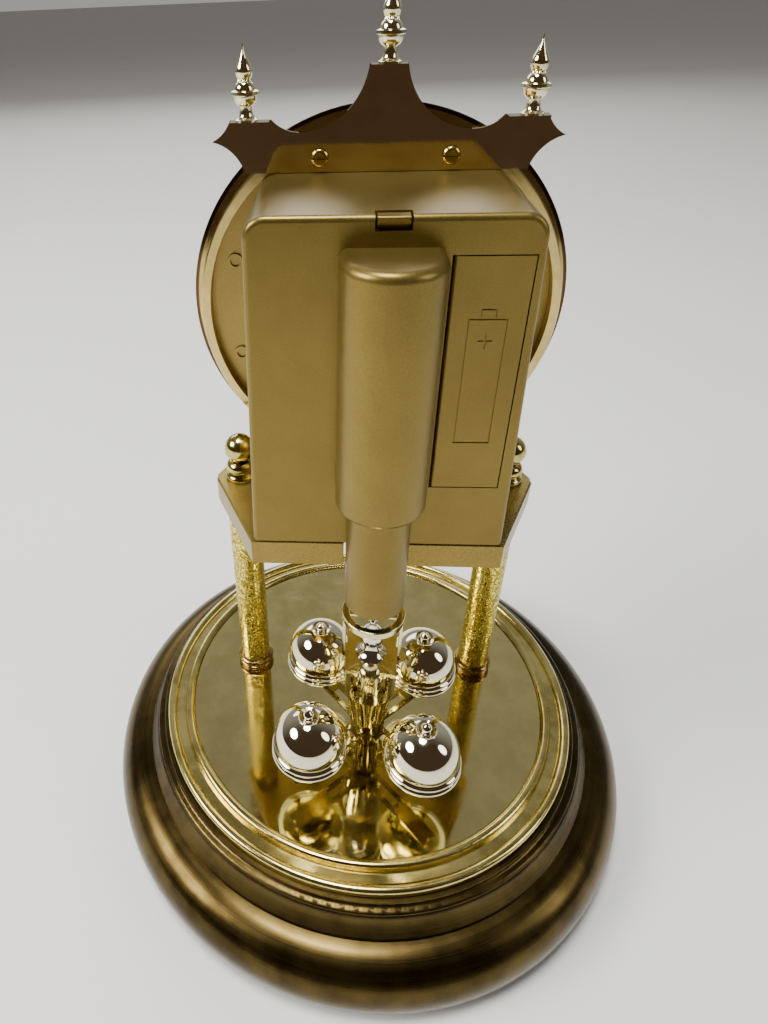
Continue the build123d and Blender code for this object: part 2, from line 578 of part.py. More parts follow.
def build_motion_work():
    """Cannon pinion, motion wheel, hour wheel, the hands and the setting knob."""
    cannon = gear(12, CANNON_M, CANNON_Z - 0.2, CANNON_Z + LAYER + 0.1, -90, True)
    cannon += rod(0.8, PLATE_BACK + 0.15, CANNON_Z)
    cannon += rod(PIVOT_R, PLATE_BACK - 0.9, PLATE_BACK + 1)
    cannon += rod(1.1, CANNON_Z, 31.6)
    parts["minute_arbor"] = on_dial(cannon)
    parts["minute_hand"] = on_dial(flat_piece(hand_face(40.0, 2.6) - Circle(1.1), 29.4, 29.9))
    nut = turned([(0, 29.9), (2.1, 29.9)],
                 [(2.1, 29.9), (2.1, 31.0)],
                 [(2.1, 31.0), (1.6, 31.6), (0.8, 32.1), (0, 32.2)],
                 [(0, 32.2), (0, 29.9)])
    parts["hand_nut"] = on_dial(nut - rod(1.1, 29, 31.65))
    hour = gear(40, HOUR_M, HOUR_Z, HOUR_Z + LAYER, -90, True)
    hour += rod(2.0, HOUR_Z, 29.0)
    parts["hour_wheel"] = on_dial(hour - rod(1.16, 10, 30))
    parts["hour_hand"] = on_dial(flat_piece(hand_face(27.0, 3.6) - Circle(2.0), 28.1, 28.6))
    wheel = gear(36, CANNON_M, CANNON_Z, CANNON_Z + LAYER, 90, False)
    pinion = gear(10, HOUR_M, CANNON_Z + LAYER, HOUR_Z + LAYER + 0.1, 90, False)
    parts["motion_wheel"] = front_stud(*MOTION, 0.5, wheel, pinion)
    to_motion = direction(KNOB, MOTION)
    knob = gear(12, CANNON_M, CANNON_Z - 0.2, CANNON_Z + LAYER + 0.1, to_motion, True)
    knob += rod(0.6, PLATE_BACK + 0.15, PLATE_FRONT - 0.15) + rod(PIVOT_R, 15, PLATE_FRONT + 0.9)
    knob += rod(0.6, 2.0, PLATE_BACK + 1)
    grip = rod(4.2, 0.4, 4.0)
    for i in range(12):
        grip -= rod(0.45, 0, 5, *polar(4.3, 30 * i))
    parts["setting_knob"] = on_dial(Pos(*KNOB, 0) * (knob + grip))


def build_plates():
    front = prism([(-16, -16), (15, -16), (15, 21), (-16, 21)], PLATE_FRONT, PLATE_FRONT + MOVE_T)
    back = prism([(-16, -16), (15, -16), (15, 21), (-16, 21)], PLATE_BACK - MOVE_T, PLATE_BACK)
    front += rod(3.95, PLATE_FRONT + MOVE_T, 27.9)
    front -= rod(2.08, 15, 40)
    for place in (THIRD, SECOND, STEP, ROTOR, MOTION, KNOB):
        front -= rod(PIVOT_HOLE_R, 10, 20, *place)
    for place in (CENTRE, THIRD, SECOND, STEP, ROTOR):
        back -= rod(PIVOT_HOLE_R, 0, 10, *place)
    back -= rod(0.66, 0, 10, *KNOB)
    for x, y in ((-14.4, -14.4), (13.4, -14.4), (-14.4, 19.4), (13.4, 19.4)):
        back += rod(1.2, PLATE_BACK - 0.1, PLATE_FRONT, x, y)
    for x in (-10.0, 10.0):
        front += block(x - 1, x + 1, -15.5, -11, PLATE_FRONT + MOVE_T - 0.1, PAN_BACK - 1.8)
    parts["movement_front"] = on_dial(front)
    parts["movement_back"] = on_dial(back)


def build_motor():
    x, y = ROTOR
    stator = block(-14.6, x + 3.4, y - 3.4, y + 3.4, 12.0, 12.8)
    stator += block(-14.6, -11.4, y - 26, y + 3, 12.0, 12.8)
    stator -= rod(2.6, 10, 14, x, y)
    parts["motor_stator"] = on_dial(stator)
    winding = block(-15.2, -10.8, y - 23.5, y - 6.5, 10.4, 14.4)
    winding = fillet(winding.edges().filter_by(Axis.Y), 1.5)
    parts["motor_coil"] = on_dial(winding - block(-14.7, -11.3, y - 30, y, 11.95, 12.85))
    board = prism([(-15.0, -13.0), (-4.0, -13.0), (-4.0, -9.0), (-9.6, -7.0), (-9.6, 8.0), (-15.0, 8.0)],
                  PLATE_BACK + 0.4, PLATE_BACK + 1.2)
    parts["circuit_board"] = on_dial(board)
    can = Pos(-7.0, -10.0, PLATE_BACK + 2.2) * Rot(0, 90, 0) * Cylinder(1.0, 5.0)
    parts["quartz_can"] = on_dial(fillet(can.edges(), 0.3))


# ---------------------------------------------------------------- suspension and pendulum

def build_suspension():
    arm = block(-3, 3, -PAN_BACK + 1.8, AXIS_Y + 2.6, 194.0, 198.0)
    arm += rod(3.4, 192.0, 198.0, 0, AXIS_Y)
    parts["suspension_arm"] = arm - rod(0.35, 190, 200, 0, AXIS_Y)
    parts["suspension_wire"] = rod(0.35, 104.2, 198.6, 0, AXIS_Y)
    bobbin = ring(2.2, 5.4, DECK_Z - 1.2, DECK_Z, 0, AXIS_Y)
    bobbin += ring(2.2, 2.8, 109.0, DECK_Z, 0, AXIS_Y) + ring(2.2, 5.4, 109.0, 109.8, 0, AXIS_Y)
    bobbin += block(-2.4, 2.4, 6.0, AXIS_Y + 3, DECK_Z, DECK_Z + 1.2) - rod(2.2, 119, 123, 0, AXIS_Y)
    parts["coil_bobbin"] = bobbin
    parts["drive_coil"] = ring(2.8, 5.1, 109.8, DECK_Z - 1.2, 0, AXIS_Y)


def fluted(r_low, r_high, z0, z1, flutes, depth):
    """A tapering drum with round flutes cut along its side."""
    body = turned([(0, z0), (r_low, z0)], [(r_low, z0), (r_high, z1)],
                  [(r_high, z1), (0, z1)], [(0, z1), (0, z0)])
    for i in range(flutes):
        angle = 360 / flutes * i
        low = Vector(*polar(r_low + depth * 0.4, angle), z0 - 0.5)
        high = Vector(*polar(r_high + depth * 0.4, angle), z1 + 0.5)
        run = high - low
        cutter = Plane(origin=(low + high) * 0.5, z_dir=run).location * Cylinder(depth, run.length + 1)
        body -= cutter
    return body


def build_pendulum_hub():
    parts["drive_magnet"] = ring(0.42, 3.4, 103.4, 106.2)
    collar = fluted(4.4, 4.4, 100.4, 103.4, 16, 0.45)
    spindle = turned([(0, 68.5), (3.6, 68.5)],
                     [(3.6, 68.5), (3.6, 71.0), (1.6, 73.0), (1.6, 75.0)],
                     [(1.6, 75.0), (2.6, 77.0), (4.6, 80.8)],
                     [(4.6, 80.8), (4.6, 82.3)],
                     [(4.6, 82.3), (2.4, 84.2), (1.7, 86.0)],
                     [(1.7, 86.0), (3.3, 88.6), (3.0, 91.2), (1.5, 93.0)],
                     [(1.5, 93.0), (1.3, 96.0), (2.2, 98.6), (2.6, 100.5)],
                     [(2.6, 100.5), (0, 100.5)],
                     [(0, 100.5), (0, 68.5)])
    parts["pendulum_spindle"] = collar + spindle - rod(0.42, 100, 104)
    gallery = ring(6.9, 9.0, 97.7, 100.1)
    gallery = fillet(gallery.edges().filter_by(GeomType.CIRCLE), 0.35)
    gallery += block(-7.2, 7.2, -0.8, 0.8, 97.9, 98.5) - rod(2.15, 90, 100)
    for x in (-8.2, 8.2):
        gallery += block(x - 0.4, x + 0.4, -1.6, 1.6, 82.0, 98.2)
    star = [polar(11.0 if i % 2 == 0 else 8.0, 22.5 * i) for i in range(16)]
    gallery += prism(star, 80.8, 82.2) - rod(4.6, 80, 83)
    parts["pendulum_gallery"] = gallery
    drum = ring(7.3, 8.2, 68.0, 80.8)
    for i in range(6):
        window = Box(3.6, 6, 7.6) + Pos(0, 0, -3.8) * Rot(90, 0, 0) * Cylinder(1.8, 6)
        drum -= Rot(0, 0, 60 * i + 30) * Pos(0, 8, 75.4) * window
    drum += fluted(5.6, 7.9, 52.4, 68.5, 16, 0.7)
    drum -= rod(4.3, 51.0, 66.5)
    parts["pendulum_bell"] = drum + ring(2.0, 8.0, 67.2, 68.5)


def build_pendulum_arms():
    hub = rod(5.6, 45.6, 48.6) + rod(4.2, 48.6, 54.0) - rod(1.4, 45, 52)
    arms = hub
    blade = block(0, ARM_REACH, -2.8, 2.8, ARM_Z, ARM_Z + ARM_T)
    blade -= block(6.5, 16.0, -1.4, 1.4, ARM_Z - 1, ARM_Z + 3)
    blade -= Pos(ARM_REACH + 1.2, 0, ARM_Z) * Cylinder(2.2, 6)
    for i in range(4):
        arms += Rot(0, 0, 45 + 90 * i) * blade
    parts["pendulum_arms"] = arms


def build_pendulum_balls():
    cut_z = BALL_Z - BALL_CUT
    waist = (BALL_R ** 2 - BALL_CUT ** 2) ** 0.5
    pin_low = ARM_Z + ARM_T
    dome = Pos(0, 0, BALL_Z) * Sphere(BALL_R) - block(-15, 15, -15, 15, BALL_Z - 20, cut_z)
    dome -= Pos(0, 0, BALL_Z) * Sphere(BALL_R - 0.9)
    rim = turned([(waist - 1.2, cut_z), (waist + 0.1, cut_z)],
                 [(waist + 0.1, cut_z), (FLANGE_R - 0.2, cut_z - 0.9), (waist + 0.3, cut_z - 1.9)],
                 [(waist + 0.3, cut_z - 1.9), (FLANGE_R, cut_z - 2.9), (FLANGE_R - 0.6, cut_z - 4.0)],
                 [(FLANGE_R - 0.6, cut_z - 4.0), (8.2, cut_z - 5.6), (4.0, cut_z - 6.4)],
                 [(4.0, cut_z - 6.4), (2.0, cut_z - 6.6)],
                 [(2.0, cut_z - 6.6), (2.0, pin_low)],
                 [(2.0, pin_low), (0, pin_low)],
                 [(0, pin_low), (0, cut_z - 5.4)],
                 [(0, cut_z - 5.4), (7.6, cut_z - 4.4)],
                 [(7.6, cut_z - 4.4), (waist - 1.2, cut_z - 2.4)],
                 [(waist - 1.2, cut_z - 2.4), (waist - 1.2, cut_z)])
    top = BALL_Z + BALL_R
    button = turned([(0, top - 0.4), (3.0, top - 0.6)],
                    [(3.0, top - 0.6), (3.1, top - 0.1), (2.9, top + 0.3)],
                    [(2.9, top + 0.3), (2.2, top + 0.1)],
                    [(2.2, top + 0.1), (1.3, top + 0.2)],
                    [(1.3, top + 0.2), (1.6, top + 0.9), (0.9, top + 2.0), (0.1, top + 2.9)],
                    [(0.1, top + 2.9), (0, top + 2.9)],
                    [(0, top + 2.9), (0, top - 0.4)])
    reach = hypot(BALL_A, BALL_A)
    places = [Pos(*polar(reach, 45 + 90 * i), 0) for i in range(4)]
    parts["pendulum_balls"] = group(p * (dome + button) for p in places)
    parts["ball_rims"] = group(p * rim for p in places)


def build_pendulum():
    before = set(parts)
    build_pendulum_hub()
    build_pendulum_arms()
    build_pendulum_balls()
    hang = Pos(0, AXIS_Y, 0) * Rot(0, 0, PEND_TURN)
    for name in set(parts) - before:
        parts[name] = hang * parts[name]


build_base()
build_columns()
build_platform()
build_cover()
build_door()
build_frame()
build_battery()
build_pediment()
build_dial()
build_train()
build_motion_work()
build_plates()
build_motor()
build_suspension()
build_pendulum()

os.makedirs("parts", exist_ok=True)
for name, shape in parts.items():
    export_step(shape, f"parts/{name}.step")
print(len(parts), "nodes")
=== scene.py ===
import json
from math import cos, pi, radians, sin

import bmesh
import bpy
from mathutils import Matrix, Vector


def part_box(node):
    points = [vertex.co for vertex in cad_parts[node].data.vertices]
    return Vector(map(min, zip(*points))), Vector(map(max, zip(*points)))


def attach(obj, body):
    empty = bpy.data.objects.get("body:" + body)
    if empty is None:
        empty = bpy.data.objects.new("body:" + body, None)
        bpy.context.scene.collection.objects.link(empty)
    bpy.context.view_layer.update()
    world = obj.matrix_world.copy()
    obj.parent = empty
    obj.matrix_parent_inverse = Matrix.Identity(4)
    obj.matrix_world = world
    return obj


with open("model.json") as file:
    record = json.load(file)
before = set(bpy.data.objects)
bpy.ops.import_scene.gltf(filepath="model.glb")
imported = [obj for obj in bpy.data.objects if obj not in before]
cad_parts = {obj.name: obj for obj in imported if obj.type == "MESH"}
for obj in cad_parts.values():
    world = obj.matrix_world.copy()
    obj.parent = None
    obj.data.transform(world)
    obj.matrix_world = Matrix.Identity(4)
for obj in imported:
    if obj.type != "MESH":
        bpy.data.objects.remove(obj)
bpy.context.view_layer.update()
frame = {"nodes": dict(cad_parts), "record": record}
NODES = frame["nodes"]
MM = 0.001
MIX_FACTOR, MIX_FIRST, MIX_SECOND = 0, 6, 7      # colour inputs of a Mix node
MIX_RESULT = 2                                   # its colour output


# ---------------------------------------------------------------- material helpers

class Shade:
    """One procedural material. Coordinates are metres in the clock's own frame."""

    def __init__(self, name, metallic=0.0, roughness=0.4, coat=0.0, ior=1.5):
        self.material = bpy.data.materials.new(name)
        self.material.use_nodes = True
        self.tree = self.material.node_tree
        self.tree.nodes.clear()
        self.output = self.tree.nodes.new("ShaderNodeOutputMaterial")
        self.bsdf = self.tree.nodes.new("ShaderNodeBsdfPrincipled")
        self.bsdf.inputs["Metallic"].default_value = metallic
        self.bsdf.inputs["Roughness"].default_value = roughness
        self.bsdf.inputs["Coat Weight"].default_value = coat
        self.bsdf.inputs["IOR"].default_value = ior
        self.link(self.bsdf.outputs["BSDF"], self.output.inputs["Surface"])
        self.place = self.tree.nodes.new("ShaderNodeTexCoord").outputs["Object"]
        self.height = None

    def link(self, source, target):
        self.tree.links.new(source, target)

    def fill(self, socket, value):
        if isinstance(value, bpy.types.NodeSocket):
            self.link(value, socket)
        else:
            socket.default_value = value

    def maths(self, operation, *values):
        node = self.tree.nodes.new("ShaderNodeMath")
        node.operation = operation
        for socket, value in zip(node.inputs, values):
            self.fill(socket, value)
        return node.outputs[0]

    def parts(self, vector=None):
        node = self.tree.nodes.new("ShaderNodeSeparateXYZ")
        self.link(vector or self.place, node.inputs[0])
        return node.outputs

    def vector(self, x, y, z):
        node = self.tree.nodes.new("ShaderNodeCombineXYZ")
        for socket, value in zip(node.inputs, (x, y, z)):
            self.fill(socket, value)
        return node.outputs[0]

    def noise(self, scale, detail=3.0, rough=0.55, distortion=0.0, vector=None):
        node = self.tree.nodes.new("ShaderNodeTexNoise")
        self.link(vector or self.place, node.inputs["Vector"])
        node.inputs["Scale"].default_value = scale
        node.inputs["Detail"].default_value = detail
        node.inputs["Roughness"].default_value = rough
        node.inputs["Distortion"].default_value = distortion
        return node.outputs["Fac"]

    def cells(self, scale, feature="F1", vector=None):
        node = self.tree.nodes.new("ShaderNodeTexVoronoi")
        node.feature = feature
        self.link(vector or self.place, node.inputs["Vector"])
        node.inputs["Scale"].default_value = scale
        return node.outputs["Distance"]

    def span(self, value, low, high, to_low=0.0, to_high=1.0):
        """Map low..high onto to_low..to_high, clamped, with a smooth step."""
        node = self.tree.nodes.new("ShaderNodeMapRange")
        node.interpolation_type = "SMOOTHSTEP"
        for socket, number in zip(node.inputs[:5], (value, low, high, to_low, to_high)):
            self.fill(socket, number)
        return node.outputs[0]

    def mix(self, factor, first, second):
        node = self.tree.nodes.new("ShaderNodeMix")
        node.data_type = "RGBA"
        self.fill(node.inputs[MIX_FACTOR], factor)
        for place, value in ((MIX_FIRST, first), (MIX_SECOND, second)):
            if isinstance(value, tuple):
                value = (*value, 1.0)
            self.fill(node.inputs[place], value)
        return node.outputs[MIX_RESULT]

    def colour(self, value):
        self.paint = value
        self.fill(self.bsdf.inputs["Base Color"], value)

    def rough(self, value):
        self.fill(self.bsdf.inputs["Roughness"], value)

    def bump(self, value, depth, strength=1.0):
        """Add a relief of that depth in metres on top of what is there."""
        node = self.tree.nodes.new("ShaderNodeBump")
        node.inputs["Strength"].default_value = strength
        node.inputs["Distance"].default_value = depth
        self.link(value, node.inputs["Height"])
        if self.height is not None:
            self.link(self.height, node.inputs["Normal"])
        self.height = node.outputs["Normal"]
        self.link(self.height, self.bsdf.inputs["Normal"])

    def radius(self, x=0.0, y=0.0, upright=True):
        """Distance from a vertical axis, or from the dial's axis, in metres."""
        px, py, pz = self.parts()
        first = self.maths("SUBTRACT", px, x)
        second = self.maths("SUBTRACT", py if upright else pz, y)
        first_square = self.maths("MULTIPLY", first, first)
        second_square = self.maths("MULTIPLY", second, second)
        return self.maths("SQRT", self.maths("ADD", first_square, second_square))


def metal(name, light, dark, rough, blotch, grain, turned=None, upright=True, lines=0.0):
    """Metal with slow tone changes, and turned lines about an axis or a fine random grain."""
    shade = Shade(name, metallic=1.0)
    slow = shade.noise(blotch, 5.0, 0.6, 0.4)
    fine = shade.noise(blotch * 9, 3.0)
    tone = shade.maths("ADD", shade.maths("MULTIPLY", slow, 0.7), shade.maths("MULTIPLY", fine, 0.3))
    wear = shade.span(tone, 0.38, 0.62)
    shade.colour(shade.mix(wear, dark, light))
    if turned is None:
        relief = shade.noise(2600.0, 2.0)
    else:
        far = shade.radius(turned[0], turned[1], upright)
        along = shade.parts()[2 if upright else 1]
        rings = shade.vector(far, along, shade.maths("MULTIPLY", slow, 0.0006))
        relief = shade.noise(lines, 4.0, 0.7, 0.0, rings)
    smear = shade.maths("ADD", shade.maths("MULTIPLY", relief, 0.4), shade.maths("MULTIPLY", slow, 0.6))
    shade.rough(shade.span(smear, 0.3, 0.7, *rough))
    shade.bump(relief, grain)
    return shade


def plastic(name, light, dark, rough):
    """Moulded or lacquered plastic: a fine grain, soft clouds of tone and small specks."""
    shade = Shade(name)
    slow = shade.noise(28.0, 4.0, 0.6, 0.3)
    grain = shade.noise(2400.0, 2.0, 0.6)
    specks = shade.span(shade.cells(420.0), 0.0, 0.12, 1.0, 0.0)
    tone = shade.maths("ADD", shade.maths("MULTIPLY", slow, 0.6), shade.maths("MULTIPLY", grain, 0.4))
    base = shade.mix(shade.span(tone, 0.35, 0.65), dark, light)
    dim = tuple(0.6 * channel for channel in dark)
    shade.colour(shade.mix(shade.maths("MULTIPLY", specks, 0.25), base, dim))
    shade.rough(shade.span(tone, 0.3, 0.7, *rough))
    shade.bump(grain, 0.00001)
    return shade


# ---------------------------------------------------------------- materials

WIRE_LOW, WIRE_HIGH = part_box("suspension_wire")
AXIS_Y = (WIRE_LOW.y + WIRE_HIGH.y) / 2
DIAL_LOW, DIAL_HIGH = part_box("bezel_ring")
DIAL_Z = (DIAL_LOW.z + DIAL_HIGH.z) / 2


def antique_base():
    """Spun brass shell with turned rings and a cloudy brown patina."""
    return metal("antique_brass", (0.094, 0.065, 0.020), (0.038, 0.025, 0.007), (0.2, 0.34),
                 16.0, 0.000007, (0.0, 0.0), True, 1500.0)


def dial_bezel():
    """Spun brass bezel, darker brown along the thin outer edge of its flange."""
    shade = metal("bezel_brass", (0.66, 0.51, 0.20), (0.48, 0.36, 0.12), (0.08, 0.2), 40.0, 0.000003,
                  (0.0, DIAL_Z), False, 1600.0)
    outer = DIAL_HIGH.x - 1.3 * MM
    # the thin outer edge of the flange is painted a darker brown
    darker_edge = shade.span(shade.radius(0.0, DIAL_Z, False), outer, outer + 0.4 * MM)
    shade.colour(shade.mix(darker_edge, shade.paint, (0.10, 0.055, 0.025)))
    return shade


def etched_column():
    """Bright brass tube with an all-over etched scroll pattern of fine curls."""
    shade = Shade("etched_brass", metallic=1.0)
    warp = shade.noise(420.0, 2.0, 0.5)
    field = shade.cells(380.0, "SMOOTH_F1")
    curls = shade.maths("SINE", shade.maths("MULTIPLY", shade.maths("ADD", field, warp), 26.0))
    cut = shade.span(curls, -0.25, 0.35)
    leaves = shade.span(shade.cells(900.0), 0.16, 0.34)
    veins = shade.maths("ADD", shade.maths("MULTIPLY", leaves, 0.5), 0.5)
    pattern = shade.maths("MULTIPLY", cut, veins)
    slow = shade.noise(60.0)
    bright = shade.mix(slow, (0.82, 0.68, 0.12), (0.94, 0.81, 0.20))
    shade.colour(shade.mix(pattern, (0.38, 0.285, 0.035), bright))
    shade.rough(shade.span(pattern, 0.0, 1.0, 0.42, 0.14))
    shade.bump(pattern, 0.00009, 0.9)
    shade.bump(shade.noise(2200.0, 2.0), 0.00003, 0.6)
    return shade


def mirror_plate():
    """Gold mirror polish with a slow ripple, faint haze and fine scratches."""
    shade = Shade("gold_mirror", metallic=1.0)
    slow = shade.noise(26.0, 3.0, 0.5, 0.6)
    haze = shade.noise(90.0, 5.0, 0.65)
    shade.colour(shade.mix(shade.span(haze, 0.3, 0.7), (0.68, 0.58, 0.24), (0.80, 0.70, 0.31)))
    shade.rough(shade.span(haze, 0.3, 0.75, 0.035, 0.13))
    shade.bump(slow, 0.00012, 0.5)
    shade.bump(shade.noise(160.0, 2.0), 0.000006, 0.6)
    return shade


def champagne(name, light, dark, rough):
    """Champagne-gold lacquer with a fine metallic grain."""
    shade = Shade(name, metallic=0.82)
    slow = shade.noise(22.0, 4.0, 0.6, 0.3)
    grain = shade.noise(3200.0, 2.0, 0.7)
    flake = shade.cells(2400.0)
    tone = shade.maths("ADD", shade.maths("MULTIPLY", slow, 0.5), shade.maths("MULTIPLY", grain, 0.5))
    base = shade.mix(shade.span(tone, 0.36, 0.64), dark, light)
    specks = shade.span(shade.cells(260.0), 0.0, 0.07, 1.0, 0.0)
    shade.colour(shade.mix(shade.maths("MULTIPLY", specks, 0.35), base, (0.22, 0.15, 0.06)))
    shade.rough(shade.span(tone, 0.3, 0.7, *rough))
    shade.bump(grain, 0.00002, 0.55)
    shade.bump(flake, 0.000012, 0.5)
    return shade


def chrome(name, tint):
    """Mirror-bright plating with a faint haze and a slight ripple."""
    shade = Shade(name, metallic=1.0)
    haze = shade.noise(70.0, 5.0, 0.65)
    shade.colour(shade.mix(shade.span(haze, 0.3, 0.7), tuple(0.93 * channel for channel in tint), tint))
    shade.rough(shade.span(haze, 0.35, 0.8, 0.03, 0.10))
    shade.bump(shade.noise(220.0, 2.0), 0.000006, 0.5)
    return shade


def windings():
    """Fine enamelled wire wound round and round."""
    shade = Shade("copper_winding", metallic=1.0)
    turns = shade.maths("SINE", shade.maths("MULTIPLY", shade.parts()[2], 22000.0))
    slow = shade.noise(160.0)
    # the troughs between the turns are painted dark: painted shade in the grooves between the wires
    shade.colour(shade.mix(shade.span(turns, -1.0, 0.6), (0.20, 0.07, 0.02), (0.78, 0.36, 0.15)))
    shade.rough(shade.span(slow, 0.3, 0.7, 0.25, 0.4))
    shade.bump(turns, 0.00003)
    return shade


def circuit():
    """Green solder mask with raised tracks."""
    shade = Shade("circuit_green", roughness=0.3, coat=0.4)
    tracks = shade.span(shade.cells(500.0, "DISTANCE_TO_EDGE"), 0.04, 0.08, 1.0, 0.0)
    slow = shade.noise(200.0)
    board = shade.mix(slow, (0.01, 0.10, 0.035), (0.02, 0.16, 0.06))
    shade.colour(shade.mix(tracks, board, (0.05, 0.28, 0.10)))
    shade.bump(tracks, 0.00003)
    return shade


def felt():
    """Short green fibres."""
    shade = Shade("felt_green", roughness=0.95)
    fibres = shade.noise(1500.0, 5.0, 0.7, 1.6)
    shade.bsdf.inputs["Sheen Weight"].default_value = 0.5
    shade.colour(shade.mix(fibres, (0.008, 0.035, 0.02), (0.03, 0.085, 0.05)))
    shade.bump(fibres, 0.0002)
    return shade


def dial_enamel():
    """Ivory enamel with a faint engine-turned rosette at the centre."""
    shade = Shade("dial_white", roughness=0.35, coat=0.3)
    px, py, pz = shade.parts()
    high = shade.maths("SUBTRACT", pz, DIAL_Z)
    angle = shade.maths("ARCTAN2", high, px)
    far = shade.radius(0.0, DIAL_Z, False)
    wave = shade.maths("SINE", shade.maths("MULTIPLY", angle, 36.0))
    rings = shade.maths("SINE", shade.maths("ADD", shade.maths("MULTIPLY", far, 5200.0),
                                            shade.maths("MULTIPLY", wave, 1.4)))
    inside = shade.span(far, 0.0285, 0.0295, 1.0, 0.0)
    relief = shade.maths("MULTIPLY", rings, inside)
    slow = shade.noise(60.0)
    shade.colour(shade.mix(slow, (0.80, 0.77, 0.68), (0.86, 0.83, 0.75)))
    shade.bump(relief, 0.00003)
    return shade


def cell_jacket():
    """Lacquered battery sleeve in two plain colours, with a fine seam."""
    shade = Shade("cell_jacket", metallic=0.6, roughness=0.3, coat=0.6)
    height = shade.parts()[2]
    low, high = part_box("battery_cell")
    split = low.z + 0.72 * (high.z - low.z)
    band = shade.span(height, split, split + 0.0004)
    slow = shade.noise(90.0)
    body = shade.mix(slow, (0.012, 0.013, 0.016), (0.03, 0.03, 0.035))
    shade.colour(shade.mix(band, body, (0.55, 0.30, 0.10)))
    shade.bump(shade.noise(1800.0, 2.0), 0.000008)
    return shade


# Slot: light and dark tone, roughness range, scale of the blotches, depth of the grain
PLAIN_METALS = {
    "dark_brass": ((0.40, 0.27, 0.10), (0.22, 0.14, 0.05), (0.14, 0.28), 90.0, 0.000004),
    "stud_brass": ((0.66, 0.56, 0.20), (0.42, 0.34, 0.10), (0.08, 0.2), 90.0, 0.000003),
    "pediment_brass": ((0.88, 0.74, 0.46), (0.78, 0.60, 0.34), (0.025, 0.06), 26.0, 0.000003),
    "screw_brass": ((0.64, 0.50, 0.14), (0.44, 0.33, 0.08), (0.14, 0.26), 200.0, 0.000004),
    "finial_brass": ((0.84, 0.79, 0.52), (0.70, 0.63, 0.36), (0.05, 0.14), 150.0, 0.000002),
    "steel": ((0.62, 0.62, 0.61), (0.42, 0.42, 0.42), (0.2, 0.34), 120.0, 0.000004),
    "contact_nickel": ((0.74, 0.72, 0.67), (0.58, 0.56, 0.51), (0.14, 0.26), 160.0, 0.000003),
    "magnet_grey": ((0.16, 0.16, 0.165), (0.09, 0.09, 0.095), (0.4, 0.6), 300.0, 0.00001),
    "arm_gold": ((0.78, 0.69, 0.34), (0.60, 0.50, 0.20), (0.08, 0.18), 80.0, 0.000003),
    "gallery_gold": ((0.86, 0.78, 0.46), (0.70, 0.61, 0.30), (0.05, 0.14), 80.0, 0.000003),
    "bell_gold": ((0.90, 0.82, 0.44), (0.74, 0.64, 0.28), (0.05, 0.14), 80.0, 0.000003),
}

# Slot: light and dark tone, roughness range
PLASTICS = {
    "black_plastic": ((0.03, 0.03, 0.032), (0.016, 0.016, 0.018), (0.35, 0.5)),
    "numeral_black": ((0.012, 0.012, 0.012), (0.006, 0.006, 0.006), (0.25, 0.35)),
    "hand_black": ((0.02, 0.02, 0.022), (0.01, 0.01, 0.011), (0.22, 0.34)),
    "wheel_acetal": ((0.84, 0.82, 0.76), (0.76, 0.74, 0.67), (0.3, 0.42)),
    "knob_black": ((0.035, 0.035, 0.036), (0.02, 0.02, 0.021), (0.4, 0.55)),
    "core_plastic": ((0.05, 0.047, 0.044), (0.03, 0.028, 0.026), (0.45, 0.6)),
    "base_steel": ((0.035, 0.035, 0.035), (0.02, 0.02, 0.02), (0.3, 0.45)),
}

# Slot: light and dark tone, roughness range
LACQUERS = {
    "platform_gold": ((0.32, 0.23, 0.056), (0.23, 0.165, 0.038), (0.24, 0.36)),
    "cover_champagne": ((0.245, 0.176, 0.043), (0.175, 0.123, 0.027), (0.30, 0.42)),
    "door_champagne": ((0.245, 0.176, 0.043), (0.175, 0.123, 0.027), (0.30, 0.42)),
    "latch_champagne": ((0.29, 0.205, 0.048), (0.21, 0.146, 0.032), (0.30, 0.42)),
    "frame_plastic": ((0.30, 0.21, 0.055), (0.23, 0.16, 0.04), (0.35, 0.5)),
    "pan_gold": ((0.39, 0.285, 0.08), (0.30, 0.215, 0.055), (0.3, 0.42)),
}

# Slot: tint of the polish; for the balls it holds a painted gold reflection
CHROMES = {
    # the gold cast of the balls' tint is a painted reflection of the gold parts round them
    "ball_chrome": (0.84, 0.78, 0.57),
    "rim_gold": (0.82, 0.77, 0.54),
    "spindle_chrome": (0.86, 0.82, 0.72),
}

LOOKS = {
    "antique_brass": antique_base(),
    "tray_brass": metal("tray_brass", (0.74, 0.63, 0.24), (0.48, 0.39, 0.13), (0.10, 0.24),
                        30.0, 0.000004, (0.0, 0.0), True, 1800.0),
    "gold_mirror": mirror_plate(),
    "etched_brass": etched_column(),
    "bezel_brass": dial_bezel(),
    "dial_white": dial_enamel(),
    "chapter_silver": metal("chapter_silver", (0.80, 0.79, 0.76), (0.68, 0.67, 0.64), (0.25, 0.4),
                            40.0, 0.000005, (0.0, DIAL_Z), False, 2600.0),
    "copper_winding": windings(),
    "circuit_green": circuit(),
    "cell_jacket": cell_jacket(),
    "felt_green": felt(),
}
for maker, table in ((metal, PLAIN_METALS), (plastic, PLASTICS), (champagne, LACQUERS)):
    for slot, numbers in table.items():
        LOOKS[slot] = maker(slot, *numbers)
for slot, tint in CHROMES.items():
    LOOKS[slot] = chrome(slot, tint)

for entry in frame["record"]["subparts"]:
    node = NODES[entry["node"]]
    look = LOOKS[entry["material_slot"]].material
    if not node.material_slots:
        node.data.materials.append(look)
    for held in node.material_slots:
        held.material = look


# ---------------------------------------------------------------- new pieces

def mesh_piece(name, slot, body, build):
    """Make a piece from a function that fills a bmesh, in the clock's own frame."""
    data = bpy.data.meshes.new(name)
    bm = bmesh.new()
    build(bm)
    bmesh.ops.recalc_face_normals(bm, faces=bm.faces)
    bm.to_mesh(data)
    bm.free()
    piece = bpy.data.objects.new(name, data)
    bpy.context.scene.collection.objects.link(piece)
    data.materials.append(LOOKS[slot].material)
    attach(piece, body)


